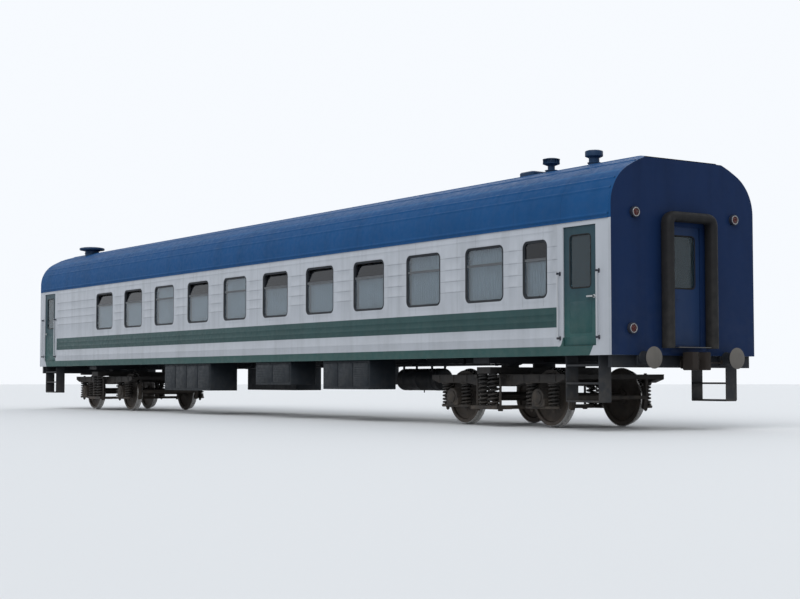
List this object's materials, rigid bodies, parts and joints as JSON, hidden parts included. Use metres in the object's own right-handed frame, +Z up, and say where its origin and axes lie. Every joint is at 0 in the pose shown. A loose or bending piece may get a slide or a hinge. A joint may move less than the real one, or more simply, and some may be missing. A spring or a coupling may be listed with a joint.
{
  "type": "passenger coach",
  "caption": "Railway sleeping coach: hollow beaded body with inward-opening doors, corridor and compartments, on two swivelling four-wheeled bogies with buffers and couplers.",
  "frame": {"origin": "midway along and across the coach, at the level of the wheel flange tips, one flange depth below the rail top", "axes": "+X towards the front end along the coach, +Y to its left side, +Z up"},
  "size_m": [24.757, 3.2532, 4.604],
  "materials": {
    "roof_blue": "satin",
    "side_white": "satin",
    "door_green": "satin",
    "end_blue": "satin",
    "underbody_black": "matt",
    "bogie_grey": "matt",
    "wheel_steel": "worn",
    "spring_steel": "matt",
    "frame_dark": "satin",
    "window_glass": "clear",
    "floor_brown": "matt",
    "panel_beige": "satin",
    "berth_brown": "satin",
    "rail_steel": "satin",
    "seal_rubber": "matt",
    "lamp_dark": "satin"
  },
  "bodies": {
    "car_body": {"air_reservoirs": "underbody_black", "battery_boxes": "underbody_black", "berths_and_tables": "berth_brown", "body_bolsters": "underbody_black", "brake_cylinder": "underbody_black", "bridge_plates": "underbody_black", "buffers": "underbody_black", "bulkheads": "panel_beige", "cantrails": "roof_blue", "corridor_wall": "panel_beige", "couplers": "underbody_black", "doorway_frames": "side_white", "end_wall_front": "end_blue", "end_wall_rear": "end_blue", "equipment_cases": "underbody_black", "floor": "floor_brown", "gangway_seals": "seal_rubber", "handrails": "rail_steel", "headstocks": "underbody_black", "marker_lamps": "lamp_dark", "panes": "window_glass", "partitions": "panel_beige", "roof": "roof_blue", "roof_cap": "roof_blue", "roof_vents": "roof_blue", "side_wall_left": "side_white", "side_wall_right": "side_white", "steps": "underbody_black", "underframe": "underbody_black", "window_frames": "frame_dark"},
    "bogie_front": {"axle_boxes_front": "bogie_grey", "bogie_frame_front": "bogie_grey", "bolster_front": "bogie_grey", "brake_gear_front": "bogie_grey", "spring_plank_front": "bogie_grey", "springs_front": "spring_steel"},
    "bogie_rear": {"axle_boxes_rear": "bogie_grey", "bogie_frame_rear": "bogie_grey", "bolster_rear": "bogie_grey", "brake_gear_rear": "bogie_grey", "spring_plank_rear": "bogie_grey", "springs_rear": "spring_steel"},
    "wheelset_1_body": {"wheelset_1": "wheel_steel"},
    "wheelset_2_body": {"wheelset_2": "wheel_steel"},
    "wheelset_3_body": {"wheelset_3": "wheel_steel"},
    "wheelset_4_body": {"wheelset_4": "wheel_steel"},
    "side_door_front_left_body": {"side_door_front_left": "door_green", "side_door_pane_front_left": "window_glass"},
    "side_door_front_right_body": {"side_door_front_right": "door_green", "side_door_pane_front_right": "window_glass"},
    "side_door_rear_left_body": {"side_door_rear_left": "door_green", "side_door_pane_rear_left": "window_glass"},
    "side_door_rear_right_body": {"side_door_rear_right": "door_green", "side_door_pane_rear_right": "window_glass"},
    "end_door_front_body": {"end_door_front": "door_green", "end_door_pane_front": "window_glass"},
    "end_door_rear_body": {"end_door_rear": "door_green", "end_door_pane_rear": "window_glass"}
  },
  "joints": [
    {"name": "bogie_front_swivel", "type": "hinge", "parent": "car_body", "child": "bogie_front", "pos_m": [8.5, 0, 1], "axis": [0, 0, 1], "range_deg": [-6, 6]},
    {"name": "bogie_rear_swivel", "type": "hinge", "parent": "car_body", "child": "bogie_rear", "pos_m": [-8.5, 0, 1], "axis": [0, 0, 1], "range_deg": [-6, 6]},
    {"name": "wheelset_1_spin", "type": "hinge", "parent": "bogie_front", "child": "wheelset_1_body", "pos_m": [9.7, 0, 0.503], "axis": [0, 1, 0], "continuous": true},
    {"name": "wheelset_2_spin", "type": "hinge", "parent": "bogie_front", "child": "wheelset_2_body", "pos_m": [7.3, 0, 0.503], "axis": [0, 1, 0], "continuous": true},
    {"name": "wheelset_3_spin", "type": "hinge", "parent": "bogie_rear", "child": "wheelset_3_body", "pos_m": [-7.3, 0, 0.503], "axis": [0, 1, 0], "continuous": true},
    {"name": "wheelset_4_spin", "type": "hinge", "parent": "bogie_rear", "child": "wheelset_4_body", "pos_m": [-9.7, 0, 0.503], "axis": [0, 1, 0], "continuous": true},
    {"name": "side_door_front_left_hinge", "type": "hinge", "parent": "car_body", "child": "side_door_front_left_body", "pos_m": [10.8425, 1.474, 1.328], "axis": [0, 0, -1], "range_deg": [0, 90]},
    {"name": "side_door_front_right_hinge", "type": "hinge", "parent": "car_body", "child": "side_door_front_right_body", "pos_m": [10.8425, -1.474, 1.328], "axis": [0, 0, 1], "range_deg": [0, 90]},
    {"name": "side_door_rear_left_hinge", "type": "hinge", "parent": "car_body", "child": "side_door_rear_left_body", "pos_m": [-10.8425, 1.474, 1.328], "axis": [0, 0, 1], "range_deg": [0, 90]},
    {"name": "side_door_rear_right_hinge", "type": "hinge", "parent": "car_body", "child": "side_door_rear_right_body", "pos_m": [-10.8425, -1.474, 1.328], "axis": [0, 0, -1], "range_deg": [0, 90]},
    {"name": "end_door_front_hinge", "type": "hinge", "parent": "car_body", "child": "end_door_front_body", "pos_m": [11.8965, 0.3475, 1.328], "axis": [0, 0, -1], "range_deg": [0, 90]},
    {"name": "end_door_rear_hinge", "type": "hinge", "parent": "car_body", "child": "end_door_rear_body", "pos_m": [-11.8965, -0.3475, 1.328], "axis": [0, 0, -1], "range_deg": [0, 90]}
  ]
}
